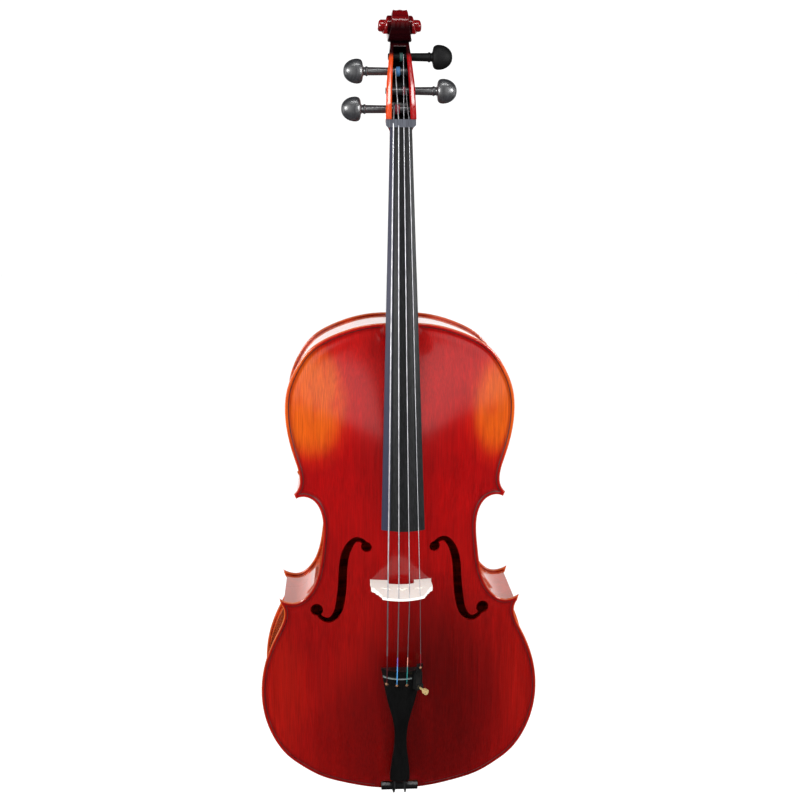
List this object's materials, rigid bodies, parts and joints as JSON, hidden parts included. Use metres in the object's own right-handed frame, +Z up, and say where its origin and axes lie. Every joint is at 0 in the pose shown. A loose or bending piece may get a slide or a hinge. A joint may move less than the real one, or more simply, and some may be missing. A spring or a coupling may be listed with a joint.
{
  "type": "cello",
  "caption": "Bowed string instrument with an arched hollow wooden body, sound holes, neck with scroll head, pegs, bridge, tailpiece with fine tuner and a sliding endpin.",
  "frame": {"origin": "lowest point of the endpin tip, on the endpin's axis", "axes": "+Z up along the body to the scroll, -Y towards the strings, +X towards the treble side (A string)"},
  "size_m": [0.434, 0.2602, 1.235],
  "materials": {
    "spruce_varnish": "glossy red varnish over spruce",
    "maple_varnish": "glossy red varnish over flamed maple",
    "purfling_wood": "glossy, under varnish",
    "inner_spruce": "bare, sanded",
    "ebony": "satin black",
    "bridge_maple": "bare, satin",
    "string_steel": "flat wound, satin",
    "silk_red": "silk wrapping",
    "silk_blue": "silk wrapping",
    "silk_teal": "silk wrapping",
    "fret_metal": "satin",
    "black_metal": "satin black",
    "gold_brass": "polished",
    "cord_black": "matte",
    "endpin_steel": "polished",
    "rubber_black": "matte"
  },
  "bodies": {
    "cello": {"front_plate": "spruce_varnish", "back_plate": "maple_varnish", "purfling_front": "purfling_wood", "purfling_back": "purfling_wood", "linings_front": "inner_spruce", "linings_back": "inner_spruce", "top_block": "inner_spruce", "end_block": "inner_spruce", "corner_blocks": "inner_spruce", "bass_bar": "inner_spruce", "sound_post": "inner_spruce", "neck": "maple_varnish", "fingerboard": "ebony", "nut": "ebony", "bridge": "bridge_maple", "tailpiece": "ebony", "tailpiece_fret": "fret_metal", "tuner_frame": "black_metal", "tuner_clamp_nut": "gold_brass", "saddle": "ebony", "tail_cord": "cord_black", "cord_ferrules": "gold_brass", "string_ball_ends": "gold_brass", "endpin_plug": "ebony", "endpin_ferrule": "endpin_steel", "rib_upper_bass": "maple_varnish", "rib_upper_treble": "maple_varnish", "rib_waist_bass": "maple_varnish", "rib_waist_treble": "maple_varnish", "rib_lower_bass": "maple_varnish", "rib_lower_treble": "maple_varnish", "string_c": "string_steel", "string_g": "string_steel", "string_d": "string_steel", "string_a": "string_steel"},
    "c_peg": {"peg_c": "ebony", "string_winding_c": "silk_red"},
    "g_peg": {"peg_g": "ebony", "string_winding_g": "silk_blue"},
    "d_peg": {"peg_d": "ebony", "string_winding_d": "silk_teal"},
    "a_peg": {"peg_a": "ebony", "string_winding_a": "silk_red"},
    "endpin": {"endpin_rod": "endpin_steel", "endpin_tip": "rubber_black"},
    "endpin_thumb_screw": {"endpin_screw": "endpin_steel"},
    "tuner_lever_arm": {"tuner_lever": "black_metal"},
    "tuner_thumb_screw": {"tuner_screw": "gold_brass"}
  },
  "joints": [
    {"name": "c_peg_turn", "type": "hinge", "parent": "cello", "child": "c_peg", "pos_m": [0, -0.035, 1.093], "axis": [-1, 0, 0], "continuous": true},
    {"name": "a_peg_turn", "type": "hinge", "parent": "cello", "child": "a_peg", "pos_m": [0, -0.027, 1.119], "axis": [1, 0, 0], "continuous": true},
    {"name": "g_peg_turn", "type": "hinge", "parent": "cello", "child": "g_peg", "pos_m": [0, -0.018, 1.1466], "axis": [-1, 0, 0], "continuous": true},
    {"name": "d_peg_turn", "type": "hinge", "parent": "cello", "child": "d_peg", "pos_m": [0, -0.011, 1.1673], "axis": [1, 0, 0], "continuous": true},
    {"name": "endpin_slide", "type": "slide", "parent": "cello", "child": "endpin", "axis": [0, 0, -1], "range_m": [0, 0.4]},
    {"name": "endpin_screw_turn", "type": "hinge", "parent": "cello", "child": "endpin_thumb_screw", "pos_m": [0, -0.018, 0.019], "axis": [0, -1, 0], "range_deg": [0, 720]},
    {"name": "tuner_screw_turn", "type": "hinge", "parent": "cello", "child": "tuner_thumb_screw", "pos_m": [0.029, -0.13341, 0.241], "axis": [0.5, -0.866, 0], "range_deg": [0, 720]},
    {"name": "tuner_lever_rock", "type": "hinge", "parent": "cello", "child": "tuner_lever_arm", "pos_m": [0.02475, -0.12605, 0.26], "axis": [0.866, 0.5, 0], "range_deg": [0, 4]}
  ],
  "couplings": [
    {"joint": "tuner_lever_rock", "follows": "tuner_screw_turn", "ratio": 0.0055556}
  ]
}
